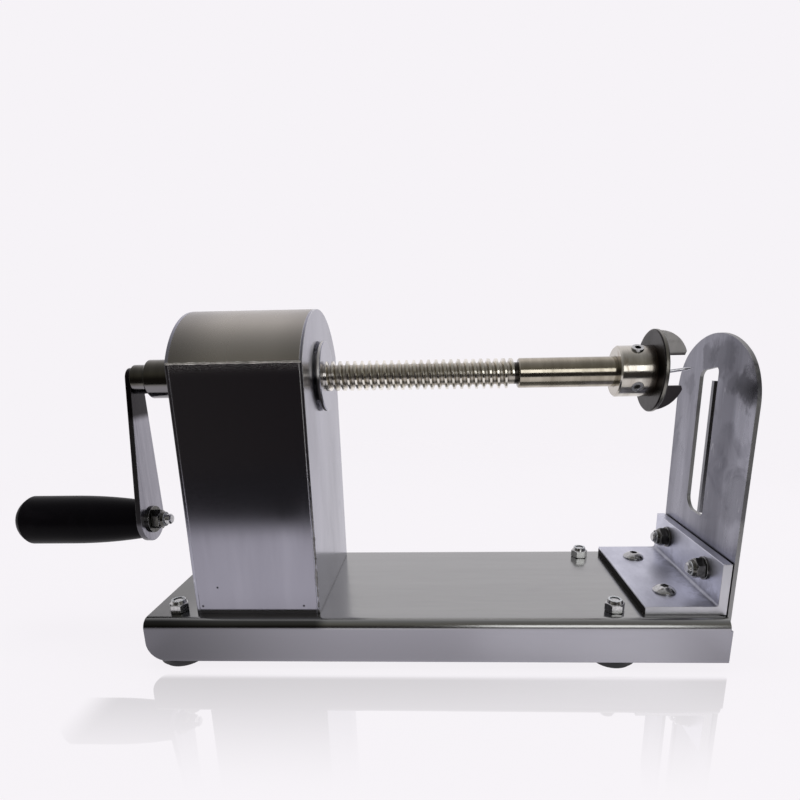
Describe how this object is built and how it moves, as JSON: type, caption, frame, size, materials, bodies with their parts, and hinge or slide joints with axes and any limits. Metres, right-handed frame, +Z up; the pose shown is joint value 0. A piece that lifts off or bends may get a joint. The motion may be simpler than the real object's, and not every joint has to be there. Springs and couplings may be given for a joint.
{
  "type": "tornado potato cutter",
  "caption": "Hand cranked cutter on a sheet steel tray: a lead screw turns and pushes a potato onto a blade behind a slotted plate, which cuts it into one long spiral.",
  "frame": {"origin": "on the floor, midway between the two ends of the part and in the middle of the tray's depth", "axes": "+X from the grip along the lead screw to the cutter plate, +Y from the front of the tray to its back, +Z up"},
  "size_m": [0.3986, 0.1, 0.1839],
  "materials": {
    "tray_steel": "satin",
    "housing_steel": "brushed",
    "plate_steel": "brushed",
    "bracket_steel": "matt",
    "turned_steel": "polished",
    "arm_steel": "satin",
    "fastener_steel": "bright",
    "blade_steel": "ground",
    "grip_plastic": "glossy",
    "foot_rubber": "matt"
  },
  "bodies": {
    "frame": {"angle_bracket": "bracket_steel", "base_tray": "tray_steel", "bracket_lock_nuts": "fastener_steel", "bracket_screws": "fastener_steel", "bracket_washers": "fastener_steel", "cutter_blade": "blade_steel", "cutter_plate": "plate_steel", "feed_nut": "turned_steel", "foot_front_left": "foot_rubber", "foot_front_right": "foot_rubber", "foot_lock_nuts": "fastener_steel", "foot_rear_left": "foot_rubber", "foot_rear_right": "foot_rubber", "foot_screws": "fastener_steel", "guide_bush": "turned_steel", "housing_left_plate": "housing_steel", "housing_right_plate": "housing_steel", "housing_screws": "fastener_steel", "housing_tabs": "housing_steel", "housing_wrap": "housing_steel", "plate_lock_nuts": "fastener_steel", "plate_screws": "fastener_steel", "plate_shims": "fastener_steel", "plate_washers": "fastener_steel"},
    "spacer": {"stop_spacer": "turned_steel"},
    "screw": {"lead_screw": "turned_steel", "crank_arm": "arm_steel", "grip_sleeve": "turned_steel", "grip_bolt": "fastener_steel", "grip_washer": "fastener_steel", "grip_nut": "fastener_steel", "holder_collar": "turned_steel", "collar_set_screws": "fastener_steel", "holder_disc": "turned_steel", "holder_fins": "turned_steel", "holder_needle": "turned_steel"},
    "grip": {"grip": "grip_plastic", "grip_cap": "grip_plastic"}
  },
  "joints": [
    {"name": "feed", "type": "slide", "parent": "frame", "child": "spacer", "axis": [1, 0, 0], "range_m": [-0.1, 0]},
    {"name": "crank_turn", "type": "hinge", "parent": "spacer", "child": "screw", "pos_m": [-0.1, 0, 0.1489], "axis": [1, 0, 0], "range_deg": [-9000, 0]},
    {"name": "grip_spin", "type": "hinge", "parent": "screw", "child": "grip", "pos_m": [-0.16, -0.00419, 0.06901], "axis": [1, 0, 0], "continuous": true}
  ],
  "couplings": [
    {"joint": "feed", "follows": "crank_turn", "m_per_rad": 0.00063662}
  ]
}
